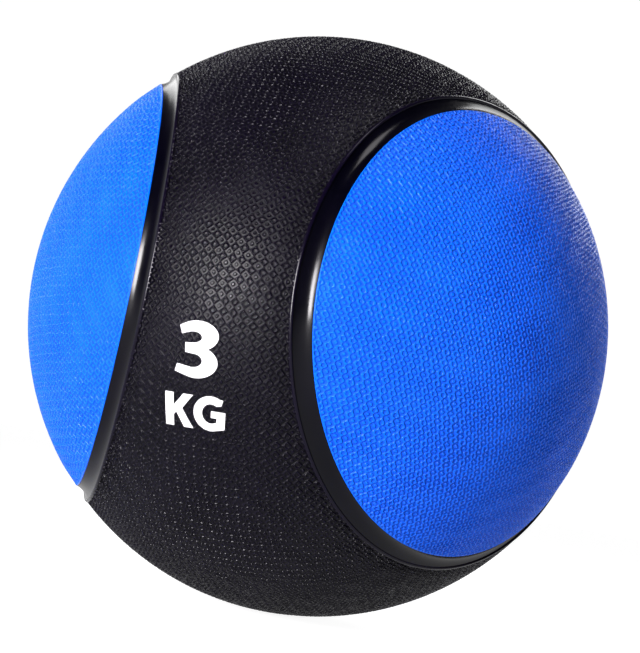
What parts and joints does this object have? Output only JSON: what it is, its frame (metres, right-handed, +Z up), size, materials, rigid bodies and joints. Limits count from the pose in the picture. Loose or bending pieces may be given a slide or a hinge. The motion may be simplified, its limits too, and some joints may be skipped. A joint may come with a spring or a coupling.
{
  "type": "medicine ball",
  "caption": "Round rubber medicine ball with a dimpled black cover, inlaid blue discs ringed by smooth grooves, a white weight marking and an inflation valve.",
  "frame": {"origin": "centre of the small flat that the ball stands on, below the ball's centre", "axes": "+Z up through the two black poles; the three disc axes are level and 120 degrees apart; -Y is the black band with the weight marking"},
  "size_m": [0.2298, 0.23, 0.2297],
  "materials": {
    "black_rubber": "satin, moulded with a dimpled relief",
    "blue_rubber": "satin, moulded with a dimpled relief",
    "channel_rubber": "smooth and glossy",
    "white_print": "matt print",
    "core_rubber": "matt, filled",
    "nylon_winding": "wound thread",
    "butyl_bladder": "smooth",
    "valve_rubber": "satin"
  },
  "bodies": {
    "root": {"cover": "black_rubber", "disc_right": "blue_rubber", "disc_left": "blue_rubber", "disc_back": "blue_rubber", "channel_right": "channel_rubber", "channel_left": "channel_rubber", "channel_back": "channel_rubber", "marking_3": "white_print", "marking_k": "white_print", "marking_g": "white_print", "core_valve_half": "core_rubber", "core_far_half": "core_rubber", "winding": "nylon_winding", "bladder": "butyl_bladder", "valve_housing": "valve_rubber", "valve_core": "valve_rubber"}
  },
  "joints": []
}
